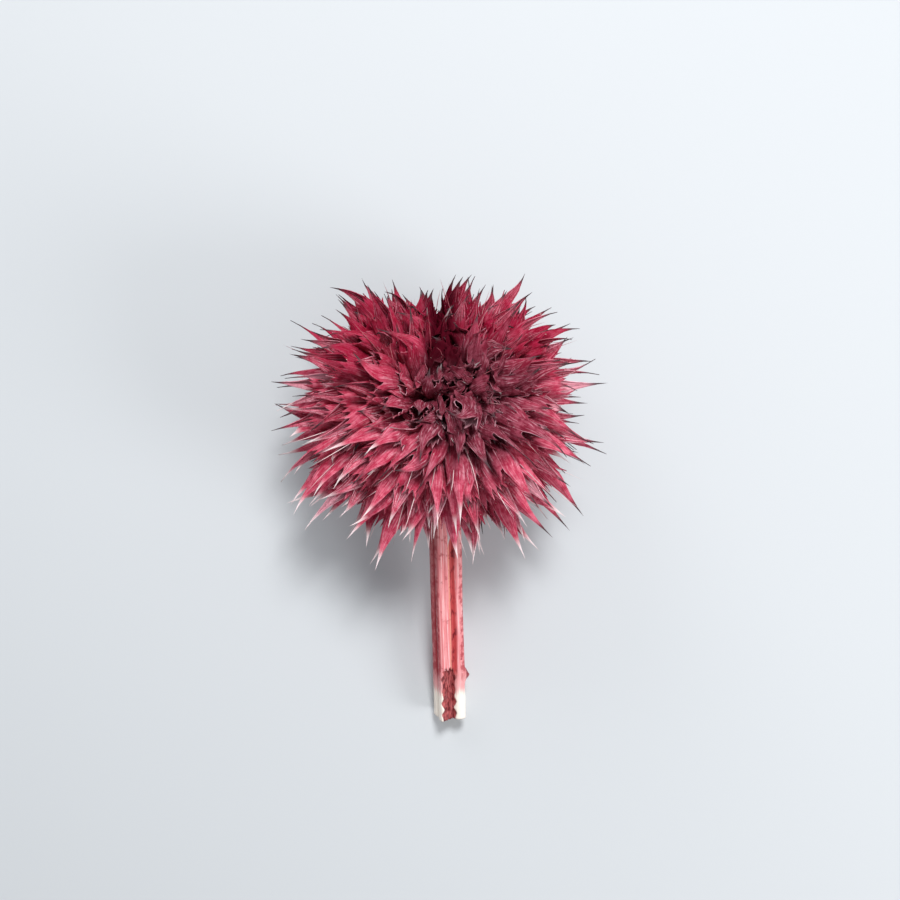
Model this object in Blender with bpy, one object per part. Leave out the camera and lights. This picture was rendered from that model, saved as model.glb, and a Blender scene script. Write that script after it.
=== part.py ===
"""Dried lion's ear: a square cut stem that carries one dense ball of spiny papery calyces.

The flower lies on its side on a flat surface. It is laid out in the stem's own axes first:
+Y along the stem towards the flower head, +X to the right, +Z out of the upper side, with the
origin at the middle of the head. Every piece is then parented to one empty, which tips the stem
so that its cut end and the lowest spines meet the surface at z = 0.
"""
import math

import bmesh
import bpy
import numpy as np
from mathutils import Matrix, Vector

# Flower head, over the spines (metres)
HEAD_HALF_WIDTH = 0.0332
HEAD_HALF_LENGTH = 0.0298
HEAD_HALF_DEPTH = 0.0282
HEAD_SQUARENESS = 2.7
OUTLINE_SHIFT = Vector((-0.0012, -0.0040, 0.0))
HEAD_REST_HEIGHT = 0.0250
SHALLOWEST_SLOPE = 0.05

# Stem
STEM_WIDTH = 0.0062
STEM_ROLL = math.radians(20.0)
STEM_CORNER_POWER = 5.0
STEM_GROOVE_DEPTH = 0.00035
STEM_BELOW_HEAD_CENTRE = 0.0750
STEM_ABOVE_HEAD_CENTRE = 0.0115
STEM_SIDES = 32
STEM_LENGTHS = 8
LEAF_SCAR_BELOW_CENTRE = 0.0648
LEAF_SCAR_RADIUS = 0.0012
LEAF_SCAR_SHAPE = (0.8, 1.6, 1.0)

# Half-whorls that the calyces grow from
CYME_RADIUS = 0.0072
CYME_HALF_LENGTH = 0.0048
GAP = 0.0003

# Calyces
CLUSTERS_PER_SIDE = 24
CALYCES_PER_SIDE = 120
CALYX_CORNERS = 5
CALYX_HALF_WIDTH = 0.0024
CALYX_BASE_HALF_WIDTH = 0.0006
MOUTH_AT = 0.62
TOOTH_FROM = 0.64
TOOTH_NARROWING = 0.8
TOOTH_HEIGHT = 0.35
TOOTH_ARCH = 0.5
CLUSTER_JOINED_UP_TO = 0.35
SPINE_HALF_WIDTH = 0.00015
WIDTH_SHARES = np.linspace(0.08, 1.0, 24)
SHORTEST_CALYX = 0.86
LONGEST_CALYX = 1.03
DIRECTION_SPREAD = 0.045
CLUSTER_STRAY = 0.05
TIP_STRAY = 0.03
CALYX_SPACING = 0.23
CLUSTER_SPACING = 0.42
EASING_ROUNDS = 12
EASING_STRENGTH = 0.3
STEM_SIDE_OPENING = math.radians(23.0)
FAR_SIDE_OPENING = math.radians(8.0)
FOOT_LATITUDE = math.radians(40.0)
NECK_LATITUDE = math.radians(58.0)
NECK_REACH = 0.43
MOUTH_REACH = 0.74
FOOT_SHARE = 0.85
PARTING = 0.07
PARTING_FROM = -0.10
PARTING_FULL_AFTER = 0.45
SWEEP = 0.22
SWEEP_POLE = Vector((0.11, 0.42, 0.90)).normalized()
ROLL_SPREAD = 0.45
TOOTH_TOWARDS_FAR_END = 0.6

# Feet of the calyx clusters
FOOT_HALF_WIDTH = 0.00120
FOOT_TOP_HALF_WIDTH = 0.0008
FOOT_LENGTH = 0.0032
FOOT_SIDES = 6
CALYX_START = 0.25

# Bract whorl around the neck
BRACT_RING_RADIUS = 0.0050
BRACT_RING_START = 0.0080
BRACT_RING_LENGTH = 0.0014
BRACT_LENGTH = 0.0150
BRACT_HALF_WIDTH = 0.00045
BRACTS_PER_FACE = 3
BRACT_SPACING = 0.0021
BRACT_SIDES = 5
BRACT_TIP_SHARE = 0.15
BRACT_SEAT_SHARE = 0.3
BRACT_RING_SIDES = 24

GOLDEN = (math.sqrt(5.0) - 1.0) / 2.0
SEED = 123


def find_tilt():
    """Angle at which the stem's cut end and the head's underside both meet the surface."""
    power = STEM_CORNER_POWER / (STEM_CORNER_POWER - 1.0)
    corner = math.cos(STEM_ROLL) ** power + math.sin(STEM_ROLL) ** power
    half_width = STEM_WIDTH / 2 * corner ** (1.0 / power)
    reach = math.hypot(STEM_BELOW_HEAD_CENTRE, half_width)
    return math.asin(HEAD_REST_HEIGHT / reach) - math.atan2(half_width, STEM_BELOW_HEAD_CENTRE)


TILT = find_tilt()
SURFACE_NORMAL = Vector((0.0, math.sin(TILT), math.cos(TILT)))
ROLLED = Matrix.Rotation(STEM_ROLL, 4, "Y")


def make_material(name, colour, roughness):
    material = bpy.data.materials.new(name)
    material.use_nodes = True
    shader = material.node_tree.nodes["Principled BSDF"]
    shader.inputs["Base Color"].default_value = (*colour, 1.0)
    shader.inputs["Roughness"].default_value = roughness
    shader.inputs["Metallic"].default_value = 0.0
    material.diffuse_color = (*colour, 1.0)
    return material


def add_object(name, bm, collection, material=None):
    mesh = bpy.data.meshes.new(name)
    bm.to_mesh(mesh)
    bm.free()
    if material:
        mesh.materials.append(material)
    obj = bpy.data.objects.new(name, mesh)
    collection.objects.link(obj)
    return obj


def add_guide(name, bm, collection):
    guide = add_object(name, bm, collection)
    guide.hide_render = True
    guide.display_type = "WIRE"
    return guide


def extrude_ring(bm, edges):
    """Grow a new ring from a ring of edges; returns its vertices and edges."""
    grown = bmesh.ops.extrude_edge_only(bm, edges=edges)["geom"]
    verts = [item for item in grown if isinstance(item, bmesh.types.BMVert)]
    return verts, [item for item in grown if isinstance(item, bmesh.types.BMEdge)]


def close_ends(bm):
    """Fill the open ends of a tube and turn its faces outwards."""
    bmesh.ops.holes_fill(bm, edges=bm.edges)
    bmesh.ops.recalc_face_normals(bm, faces=bm.faces)


def boolean(obj, other, operation, label, self_crossing=False):
    modifier = obj.modifiers.new(label, "BOOLEAN")
    modifier.operation = operation
    modifier.object = other
    modifier.solver = "EXACT"
    modifier.use_self = self_crossing


# ---------------------------------------------------------------- where the calyces go

def unit(vectors):
    return vectors / np.linalg.norm(vectors, axis=-1, keepdims=True)


def spread_directions(count, side):
    """Even directions over one side of the whorl, from the stem's end of it to the far end."""
    index = np.arange(count) + 0.5
    level = index / count
    lowest = -math.cos(STEM_SIDE_OPENING)
    highest = math.cos(FAR_SIDE_OPENING)
    along = lowest + (highest - lowest) * level
    share = np.modf(index * GOLDEN)[0]
    around = math.pi * (share + side)
    across = np.sqrt(1.0 - along * along)
    return np.stack([across * np.sin(around), along, across * np.cos(around)], axis=1)


def drawn_in(directions, highest):
    """The same directions drawn in towards the middle of the whorl, up to a highest latitude."""
    latitude = np.arcsin(directions[:, 1])
    stem_side = highest / (math.pi / 2 - STEM_SIDE_OPENING)
    far_side = highest / (math.pi / 2 - FAR_SIDE_OPENING)
    lowered = latitude * np.where(latitude < 0.0, stem_side, far_side)
    flat = unit(directions[:, [0, 2]])
    return np.stack([flat[:, 0] * np.cos(lowered), np.sin(lowered), flat[:, 1] * np.cos(lowered)], axis=1)


def swept_directions(directions):
    """Directions of the spine tips, combed away from the crown and from the underside."""
    pole = np.array(SWEEP_POLE)
    towards_pole = directions @ pole
    angle = np.arccos(np.clip(towards_pole, -1.0, 1.0))
    sideways = unit(directions - towards_pole[:, None] * pole)
    swept = angle + SWEEP * np.sin(2.0 * angle)
    return np.cos(swept)[:, None] * pole + np.sin(swept)[:, None] * sideways


def head_radius(directions):
    """Distance from the head's centre to its spiny outline along each direction."""
    halves = np.array([HEAD_HALF_WIDTH, HEAD_HALF_LENGTH, HEAD_HALF_DEPTH])
    return (np.abs(directions / halves) ** HEAD_SQUARENESS).sum(axis=1) ** (-1.0 / HEAD_SQUARENESS)


def surface_distance(directions):
    """Distance from the head's centre down to the surface that the flower lies on."""
    downward = np.maximum(-(directions @ np.array(SURFACE_NORMAL)), SHALLOWEST_SLOPE)
    return HEAD_REST_HEIGHT / downward


def bezier(points, share):
    """Points and tangents along cubic curves, for curve control points (count, 4, 3)."""
    share = np.asarray(share, dtype=float)[None, :, None]
    p0, p1, p2, p3 = (points[:, None, i, :] for i in range(4))
    rest = 1.0 - share
    place = rest**3 * p0 + 3 * rest**2 * share * p1 + 3 * rest * share**2 * p2 + share**3 * p3
    tangent = rest**2 * (p1 - p0) + 2 * rest * share * (p2 - p1) + share**2 * (p3 - p2)
    return place, unit(tangent)


def full_width(share):
    """Half-width that a calyx would have along its length with room all round."""
    flare = CALYX_BASE_HALF_WIDTH + (CALYX_HALF_WIDTH - CALYX_BASE_HALF_WIDTH) * share / MOUTH_AT
    tooth = CALYX_HALF_WIDTH * (1.0 - share) / (1.0 - MOUTH_AT)
    return np.where(share <= MOUTH_AT, flare, tooth)


def ease_apart(directions, spacing):
    """Push crowded directions apart until neighbours are about a spacing from each other."""
    for _ in range(EASING_ROUNDS):
        offset = directions[:, None, :] - directions[None, :, :]
        distance = np.linalg.norm(offset, axis=2)
        crowding = np.clip(spacing - distance, 0.0, None)
        np.fill_diagonal(distance, 1.0)
        np.fill_diagonal(crowding, 0.0)
        push = (offset * (EASING_STRENGTH * crowding / distance)[:, :, None]).sum(axis=1)
        directions = unit(directions + push)
    return directions


def parted(directions):
    """The same directions with a parting opened between the half-whorls, up to the far end."""
    ease = np.clip((directions[:, 1] - PARTING_FROM) / PARTING_FULL_AFTER, 0.0, 1.0)
    half_gap = PARTING * ease * ease * (3.0 - 2.0 * ease)
    across = np.sign(directions[:, 0]) * np.hypot(directions[:, 0], half_gap)
    return unit(np.column_stack([across, directions[:, 1:]]))


def lay_out_calyces():
    """Curve, side, cluster, width and upper side of every calyx."""
    rng = np.random.default_rng(SEED)
    mouths, clusters = [], []
    for side in (0, 1):
        directions = spread_directions(CALYCES_PER_SIDE, side)
        cluster_directions = spread_directions(CLUSTERS_PER_SIDE, side)
        closest = np.argmax(directions @ cluster_directions.T, axis=1)
        mouths.append(directions)
        clusters.append(closest + side * CLUSTERS_PER_SIDE)
    mouths = np.concatenate(mouths)
    clusters = np.concatenate(clusters)
    mouths = unit(mouths + rng.normal(0.0, DIRECTION_SPREAD, mouths.shape))
    mouths = parted(ease_apart(mouths, CALYX_SPACING))
    feet = drawn_in(mouths, FOOT_LATITUDE)
    centres = unit(np.stack([feet[clusters == c].mean(axis=0) for c in range(2 * CLUSTERS_PER_SIDE)]))
    centres = ease_apart(centres, CLUSTER_SPACING)
    cluster_stray = rng.normal(0.0, CLUSTER_STRAY, (2 * CLUSTERS_PER_SIDE, 3))
    stray = cluster_stray[clusters] + rng.normal(0.0, TIP_STRAY, mouths.shape)
    tips = unit(swept_directions(mouths) + stray)
    outline = head_radius(tips) + tips @ np.array(OUTLINE_SHIFT)
    reach = outline * rng.uniform(SHORTEST_CALYX, LONGEST_CALYX, len(tips))
    reach = np.minimum(reach, surface_distance(tips) - SPINE_HALF_WIDTH)
    necks = drawn_in(mouths, NECK_LATITUDE)
    foot = CYME_RADIUS + GAP + CALYX_START * FOOT_LENGTH
    points = np.stack([
        foot * unit(FOOT_SHARE * centres[clusters] + (1.0 - FOOT_SHARE) * necks),
        NECK_REACH * reach[:, None] * necks,
        MOUTH_REACH * reach[:, None] * mouths,
        reach[:, None] * tips,
    ], axis=1)
    roll = rng.normal(0.0, ROLL_SPREAD, len(tips))
    return points, clusters, centres, roll


def nearest(places, others):
    """Distance from each place to the nearest of some others."""
    offset = places[:, None, :] - others.reshape(-1, 3)[None, :, :]
    return np.sqrt((offset**2).sum(axis=2)).min(axis=1)


def fit_widths(points, clusters):
    """Half-width of each calyx at WIDTH_SHARES, narrowed where a neighbour or the stem is close."""
    places, _ = bezier(points, WIDTH_SHARES)
    round_stem = np.abs(places @ np.array(ROLLED.to_3x3()))
    free = WIDTH_SHARES > CLUSTER_JOINED_UP_TO
    widths = np.empty(places.shape[:2])
    for i, cluster in enumerate(clusters):
        room = nearest(places[i], places[clusters != cluster]) / 2 - GAP
        siblings = np.flatnonzero(clusters == cluster)
        siblings = places[siblings[siblings != i]][:, free]
        room[free] = np.minimum(room[free], nearest(places[i][free], siblings) / 2 - GAP)
        beside_stem = np.maximum(round_stem[i][:, 0], round_stem[i][:, 2]) - STEM_WIDTH / 2
        past_stub = places[i][:, 1] - STEM_ABOVE_HEAD_CENTRE
        room = np.minimum(room, np.maximum(beside_stem, past_stub) - GAP)
        above_surface = places[i] @ np.array(SURFACE_NORMAL) + HEAD_REST_HEIGHT
        room = np.minimum(room, above_surface)
        widths[i] = np.clip(room, SPINE_HALF_WIDTH, full_width(WIDTH_SHARES))
    return widths


# ---------------------------------------------------------------- calyx clusters

def calyx_blank():
    """A straight calyx of unit length along Z and unit half-width, its upper side towards +Y."""
    bm = bmesh.new()
    bmesh.ops.create_circle(bm, segments=CALYX_CORNERS, radius=1.0)
    edges = bm.edges[:]
    for share in (0.5 * MOUTH_AT, MOUTH_AT, TOOTH_FROM):
        verts, edges = extrude_ring(bm, edges)
        for vert in verts:
            vert.co.z = share
    for vert in verts:
        vert.co.x *= TOOTH_NARROWING
        vert.co.y = TOOTH_HEIGHT + TOOTH_ARCH * max(vert.co.y, 0.0)
    verts, _ = extrude_ring(bm, edges)
    bmesh.ops.pointmerge(bm, verts=verts, merge_co=(0.0, 0.0, 1.0))
    close_ends(bm)
    return bm


def upper_side(tangents):
    """The side of each calyx that carries its long tooth: outwards from the crown and far end."""
    pole = np.array(SWEEP_POLE)
    facing = np.where(tangents @ pole > 0.0, 1.0, -1.0)
    wanted = facing[:, None] * pole + np.array([0.0, TOOTH_TOWARDS_FAR_END, 0.0])
    wanted = wanted - (wanted * tangents).sum(axis=1)[:, None] * tangents
    return unit(wanted)


def bend_calyx(blank, curve, widths, roll):
    """Vertex places of the blank bent along one calyx's curve."""
    flat = np.array([vert.co for vert in blank.verts])
    place, tangent = bezier(curve[None], flat[:, 2])
    place, tangent = place[0], tangent[0]
    upper = upper_side(tangent[-1:])
    upper = unit(upper - (upper * tangent).sum(axis=1)[:, None] * tangent)
    right = np.cross(upper, tangent)
    width = np.interp(np.minimum(flat[:, 2], MOUTH_AT), WIDTH_SHARES, widths)[:, None]
    across = flat[:, :1] * math.cos(roll) - flat[:, 1:2] * math.sin(roll)
    up = flat[:, :1] * math.sin(roll) + flat[:, 1:2] * math.cos(roll)
    bent = place + width * (across * right + up * upper)
    height = bent @ np.array(SURFACE_NORMAL) + HEAD_REST_HEIGHT
    lift = np.maximum(0.0, -height)
    return bent + lift[:, None] * np.array(SURFACE_NORMAL)


def add_bent_calyx(bm, blank, places):
    """Copy the blank into a mesh with its vertices at the given places."""
    copied = blank.copy()
    for vert, place in zip(copied.verts, places):
        vert.co = place
    mesh = bpy.data.meshes.new("calyx")
    copied.to_mesh(mesh)
    copied.free()
    bm.from_mesh(mesh)
    bpy.data.meshes.remove(mesh)


def build_calyx_clusters(parts, guides, material):
    points, clusters, centres, roll = lay_out_calyces()
    widths = fit_widths(points, clusters)
    blank = calyx_blank()
    built = []
    for cluster, centre in enumerate(centres):
        side = "right" if cluster < CLUSTERS_PER_SIDE else "left"
        number = cluster % CLUSTERS_PER_SIDE + 1
        foot = bmesh.new()
        lift = Matrix.Translation(Vector((0.0, 0.0, CYME_RADIUS + GAP + FOOT_LENGTH / 2)))
        turn = Vector(centre).to_track_quat("Z", "Y").to_matrix().to_4x4()
        bmesh.ops.create_cone(foot, cap_ends=True, segments=FOOT_SIDES, radius1=FOOT_HALF_WIDTH,
                              radius2=FOOT_TOP_HALF_WIDTH, depth=FOOT_LENGTH, matrix=turn @ lift)
        calyces = bmesh.new()
        for i in np.flatnonzero(clusters == cluster):
            add_bent_calyx(calyces, blank, bend_calyx(blank, points[i], widths[i], roll[i]))
        obj = add_object(f"calyx_cluster_{side}_{number:02d}", foot, parts, material)
        guide = add_guide(f"calyces_{side}_{number:02d}", calyces, guides)
        boolean(obj, guide, "UNION", "calyces", self_crossing=True)
        built += [obj, guide]
    blank.free()
    return built


# ---------------------------------------------------------------- cymes, stem and bracts

def build_cymes(parts, guides, material):
    """Left and right halves of a barrel around the stem, a narrow parting between them."""
    room = bmesh.new()
    bmesh.ops.create_cube(room, size=1.0)
    opening = STEM_WIDTH + 2 * GAP
    bmesh.ops.scale(room, vec=(opening, 4 * CYME_RADIUS, opening), verts=room.verts)
    bmesh.ops.transform(room, matrix=ROLLED, verts=room.verts)
    room = add_guide("room_for_stem", room, guides)
    built = [room]
    for name, side in (("cyme_right", 1.0), ("cyme_left", -1.0)):
        bm = bmesh.new()
        bmesh.ops.create_uvsphere(bm, u_segments=20, v_segments=12, radius=CYME_RADIUS,
                                  matrix=Matrix.Rotation(math.pi / 2, 4, "X"))
        for place, normal in (((0, CYME_HALF_LENGTH, 0), (0, 1, 0)), ((0, -CYME_HALF_LENGTH, 0), (0, -1, 0)),
                              ((side * GAP, 0, 0), (-side, 0, 0))):
            geometry = bm.verts[:] + bm.edges[:] + bm.faces[:]
            cut = bmesh.ops.bisect_plane(bm, geom=geometry, plane_co=place, plane_no=normal, clear_outer=True)
            rim = [item for item in cut["geom_cut"] if isinstance(item, bmesh.types.BMEdge)]
            bmesh.ops.holes_fill(bm, edges=rim)
        bmesh.ops.recalc_face_normals(bm, faces=bm.faces)
        cyme = add_object(name, bm, parts, material)
        boolean(cyme, room, "DIFFERENCE", "room for stem")
        built.append(cyme)
    return built


def stem_section(angle):
    """Rounded square with a shallow groove in each face: distance from the axis at an angle."""
    half = STEM_WIDTH / 2
    power = STEM_CORNER_POWER
    square = half / (abs(math.cos(angle)) ** power + abs(math.sin(angle)) ** power) ** (1.0 / power)
    return square - STEM_GROOVE_DEPTH * math.cos(2.0 * angle) ** 4


def stem_outline(bm, along, margin):
    """One ring of the stem's section at a place along Y, grown outwards by a margin."""
    bmesh.ops.create_circle(bm, segments=STEM_SIDES, radius=1.0)
    for vert in bm.verts:
        angle = math.atan2(vert.co.y, vert.co.x)
        radius = stem_section(angle) + margin
        vert.co = (radius * math.cos(angle), along, radius * math.sin(angle))


def build_stem(parts, guides, material):
    """Square stem along Y, from its cut end to the stub past the head, with one leaf scar."""
    bm = bmesh.new()
    stem_outline(bm, -STEM_BELOW_HEAD_CENTRE, 0.0)
    edges = bm.edges[:]
    step = (STEM_BELOW_HEAD_CENTRE + STEM_ABOVE_HEAD_CENTRE) / STEM_LENGTHS
    for _ in range(STEM_LENGTHS):
        verts, edges = extrude_ring(bm, edges)
        bmesh.ops.translate(bm, vec=(0.0, step, 0.0), verts=verts)
    close_ends(bm)
    bmesh.ops.transform(bm, matrix=ROLLED, verts=bm.verts)
    stem = add_object("stem", bm, parts, material)
    stem.data.shade_smooth()
    scar = bmesh.new()
    place = Matrix.Translation((STEM_WIDTH / 2, -LEAF_SCAR_BELOW_CENTRE, LEAF_SCAR_RADIUS))
    shape = Matrix.Diagonal((*LEAF_SCAR_SHAPE, 1.0))
    bmesh.ops.create_uvsphere(scar, u_segments=10, v_segments=6, radius=LEAF_SCAR_RADIUS,
                              matrix=ROLLED @ place @ shape)
    scar = add_guide("leaf_scar", scar, guides)
    boolean(stem, scar, "UNION", "leaf scar")
    return [stem, scar]


def build_bract_whorl(parts, guides, material):
    """A ring around the neck of the stem with thin pointed bracts hanging along each face."""
    ring = bmesh.new()
    middle = BRACT_RING_START + BRACT_RING_LENGTH / 2
    lie_along_stem = Matrix.Rotation(math.pi / 2, 4, "X")
    place = Matrix.Translation((0.0, -middle, 0.0)) @ lie_along_stem
    bmesh.ops.create_cone(ring, cap_ends=True, segments=BRACT_RING_SIDES, radius1=BRACT_RING_RADIUS,
                          radius2=BRACT_RING_RADIUS, depth=BRACT_RING_LENGTH, matrix=place)
    whorl = add_object("bract_whorl", ring, parts, material)
    opening = bmesh.new()
    stem_outline(opening, -2 * middle, GAP)
    far_end, _ = extrude_ring(opening, opening.edges[:])
    bmesh.ops.translate(opening, vec=(0.0, 2 * middle, 0.0), verts=far_end)
    close_ends(opening)
    bmesh.ops.transform(opening, matrix=ROLLED, verts=opening.verts)
    opening = add_guide("room_for_neck", opening, guides)
    boolean(whorl, opening, "DIFFERENCE", "room for neck")
    bracts = bmesh.new()
    for face in range(4):
        turn = ROLLED @ Matrix.Rotation(face * math.pi / 2, 4, "Y")
        for number in range(BRACTS_PER_FACE):
            across = (number - (BRACTS_PER_FACE - 1) / 2) * BRACT_SPACING
            out = BRACT_HALF_WIDTH + STEM_WIDTH / 2 + GAP
            start = BRACT_RING_START + BRACT_SEAT_SHARE * BRACT_RING_LENGTH
            shift = Matrix.Translation((across, -start - BRACT_LENGTH / 2, out))
            bmesh.ops.create_cone(bracts, cap_ends=True, segments=BRACT_SIDES, radius1=BRACT_HALF_WIDTH,
                                  radius2=BRACT_TIP_SHARE * BRACT_HALF_WIDTH, depth=BRACT_LENGTH,
                                  matrix=turn @ shift @ lie_along_stem)
    bracts = add_guide("bracts", bracts, guides)
    boolean(whorl, bracts, "UNION", "bracts")
    return [whorl, opening, bracts]


# ---------------------------------------------------------------- laying the flower down

def lay_down(objects, parent):
    """Tip the flower onto its side and centre its footprint on the origin, lowest point at z = 0."""
    for obj in objects:
        obj.parent = parent
    parent.rotation_euler = (TILT, 0.0, 0.0)
    bpy.context.view_layer.update()
    depsgraph = bpy.context.evaluated_depsgraph_get()
    corners = []
    for obj in objects:
        if obj.hide_render:
            continue
        mesh = obj.evaluated_get(depsgraph).data
        corners += [obj.matrix_world @ vert.co for vert in mesh.vertices]
    low = [min(corner[i] for corner in corners) for i in range(3)]
    high = [max(corner[i] for corner in corners) for i in range(3)]
    parent.location = (-(low[0] + high[0]) / 2, -(low[1] + high[1]) / 2, -low[2])
    bpy.context.view_layer.update()


def main():
    for obj in list(bpy.data.objects):
        bpy.data.objects.remove(obj, do_unlink=True)
    parts = bpy.data.collections.new("dried_lions_ear_stem")
    guides = bpy.data.collections.new("cutters")
    bpy.context.scene.collection.children.link(parts)
    bpy.context.scene.collection.children.link(guides)
    calyx_paper = make_material("calyx_paper", (0.27, 0.045, 0.07), 0.7)
    cyme_wood = make_material("cyme_wood", (0.09, 0.02, 0.025), 0.8)
    stem_skin = make_material("stem_skin", (0.55, 0.22, 0.2), 0.55)
    bract_straw = make_material("bract_straw", (0.5, 0.2, 0.2), 0.6)
    laid = bpy.data.objects.new("flower_lying_down", None)
    parts.objects.link(laid)
    built = build_stem(parts, guides, stem_skin)
    built += build_cymes(parts, guides, cyme_wood)
    built += build_bract_whorl(parts, guides, bract_straw)
    built += build_calyx_clusters(parts, guides, calyx_paper)
    lay_down(built, laid)


main()
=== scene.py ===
"""Dried lion's ear: the finish of a cut, dyed flower stem that lies on a pale surface."""
import math
from functools import partialmethod

import bmesh
import bpy
import numpy as np
from mathutils import Matrix, Vector, noise


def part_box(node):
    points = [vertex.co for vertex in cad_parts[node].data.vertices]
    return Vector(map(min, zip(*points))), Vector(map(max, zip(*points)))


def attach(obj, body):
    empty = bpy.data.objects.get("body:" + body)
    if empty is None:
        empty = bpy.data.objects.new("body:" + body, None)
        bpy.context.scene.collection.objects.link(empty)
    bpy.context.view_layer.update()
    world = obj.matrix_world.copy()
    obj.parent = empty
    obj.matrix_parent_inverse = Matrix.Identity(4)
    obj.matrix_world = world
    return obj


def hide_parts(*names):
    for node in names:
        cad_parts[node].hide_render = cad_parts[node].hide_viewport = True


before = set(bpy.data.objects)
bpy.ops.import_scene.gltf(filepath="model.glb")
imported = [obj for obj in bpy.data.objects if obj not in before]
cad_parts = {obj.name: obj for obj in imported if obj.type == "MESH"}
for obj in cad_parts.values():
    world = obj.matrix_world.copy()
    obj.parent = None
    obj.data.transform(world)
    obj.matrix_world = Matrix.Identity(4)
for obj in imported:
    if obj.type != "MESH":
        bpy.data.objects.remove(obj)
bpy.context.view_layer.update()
scene = bpy.context.scene

# ---------------- the stem
# A square, pithy stem with a pale rib on each corner and a furrow down each face, cut off
# clean below the head. It runs on through the flower head and ends in a short stub. Drying
# has wrinkled the furrows, and the upper one is torn open near the cut end.


def vertex_places(mesh):
    """The places of a mesh's vertices, one to a row."""
    return np.array([vert.co for vert in mesh.vertices])


STEM_ROLL = math.radians(20.0)
ROLLED = np.array(Matrix.Rotation(STEM_ROLL, 3, "Y"))
cyme_corners = np.array([corner for node in ("cyme_left", "cyme_right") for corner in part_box(node)])
head_centre = (cyme_corners.min(axis=0) + cyme_corners.max(axis=0)) / 2
stem_points = vertex_places(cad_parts["stem"].data)
stem_axis = np.linalg.svd(stem_points - stem_points.mean(axis=0), full_matrices=False)[2][0]
stem_axis *= np.sign(stem_axis[1])
STEM_TILT = math.atan2(stem_axis[2], stem_axis[1])
LYING = np.array(Matrix.Rotation(STEM_TILT, 3, "X"))
HEAD_REST_HEIGHT = head_centre[2]
SURFACE_NORMAL = LYING.T @ np.array([0.0, 0.0, 1.0])
stem_points = (stem_points - head_centre) @ LYING @ ROLLED
CUT_END = stem_points[:, 1].min()
STUB_END = stem_points[:, 1].max()
STEM_WIDTH = -2 * stem_points[:, 0].min()
STEM_SQUARENESS = 6.0
FURROW_DEPTH = 0.00055
STEM_SIDES = 120
STEM_ROWS = 260
TEAR_TOP = CUT_END + 0.0125
TEAR_CENTRE = -0.0010
TEAR_HALF_WIDTH = 0.0016
TEAR_DEPTH = 0.0011
LEAF_SCAR_ALONG = CUT_END + 0.0102
LEAF_SCAR_ANGLE = math.radians(24.0)


def to_surface(points):
    """Places in the stem's own axes, laid down as the flower rests."""
    return points @ LYING.T + head_centre


def extrude_ring(bm, edges):
    """Grow a new ring from a ring of edges; returns its vertices and edges."""
    grown = bmesh.ops.extrude_edge_only(bm, edges=edges)["geom"]
    verts = [item for item in grown if isinstance(item, bmesh.types.BMVert)]
    return verts, [item for item in grown if isinstance(item, bmesh.types.BMEdge)]


def finished_mesh(name, bm):
    """The mesh that a bmesh was built for."""
    mesh = bpy.data.meshes.new(name)
    bm.to_mesh(mesh)
    bm.free()
    return mesh


def add_object(name, data):
    """Stand a mesh, a lamp or a camera in the scene."""
    item = bpy.data.objects.new(name, data)
    scene.collection.objects.link(item)
    return item


def add_piece(name, bm, materials, node=None):
    """Turn a finished bmesh into a piece that rides on the part and stands for its CAD node."""
    mesh = finished_mesh(name, bm)
    for material in materials:
        mesh.materials.append(material)
    mesh.shade_smooth()
    piece = add_object(name, mesh)
    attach(piece, "root")
    if node:
        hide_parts(node)
    return piece


def smooth_step(value, start, end):
    """0 before start, 1 past end and an even slope in between."""
    share = min(max((value - start) / (end - start), 0.0), 1.0)
    return share * share * (3.0 - 2.0 * share)


def tear_at(across, along):
    """How far the torn furrow is open at a place across and along the upper face, 0 to 1."""
    across = across - TEAR_CENTRE
    ragged = 0.35 * noise.noise(Vector((3.0, 0.0, along * 700.0)))
    edge = 1.0 - smooth_step(abs(across) / TEAR_HALF_WIDTH + ragged, 0.75, 1.10)
    top = TEAR_TOP + 0.0010 * noise.noise(Vector((across * 1900.0, 5.0, 0.0)))
    return edge * (1.0 - smooth_step(along, top - 0.0005, top))


def leaf_scar(angle, along):
    """How much of the one leaf scar's bump stands at a place on the stem, 0 to 1."""
    around, above = (angle - LEAF_SCAR_ANGLE) / 0.27, (along - LEAF_SCAR_ALONG) / 0.0014
    return math.exp(-around ** 2 - above ** 2)


def stem_radius(angle, along):
    """Distance of the stem's skin from its axis: rounded square, furrowed, with drying wrinkles."""
    half = STEM_WIDTH / 2
    square = half / (abs(math.cos(angle)) ** STEM_SQUARENESS
                     + abs(math.sin(angle)) ** STEM_SQUARENESS) ** (1.0 / STEM_SQUARENESS)
    quarter = math.remainder(angle, math.pi / 2) / (math.pi / 4)
    furrow = FURROW_DEPTH * math.exp(-((quarter + 0.17) / 0.24) ** 2)
    line = 0.00018 * math.exp(-((quarter - 0.20) / 0.06) ** 2)
    line += 0.00010 * math.exp(-((quarter - 0.60) / 0.05) ** 2)
    place = Vector((3.2 * math.cos(angle), 3.2 * math.sin(angle), along * 90.0))
    wrinkle = 0.00010 * noise.noise(place) + 0.00006 * noise.noise(place * 3.1)
    across = square * math.cos(angle)
    torn = tear_at(across, along) if math.sin(angle) > 0.5 else 0.0
    pitted = noise.noise(Vector((across * 1700.0, along * 450.0, 7.0)))
    pit = TEAR_DEPTH * torn * (0.85 + 0.4 * pitted)
    nub = 0.0011 * leaf_scar(angle, along) * (1.0 + 0.4 * noise.noise(place * 9.0))
    return square - furrow - line + wrinkle - pit + nub


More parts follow.
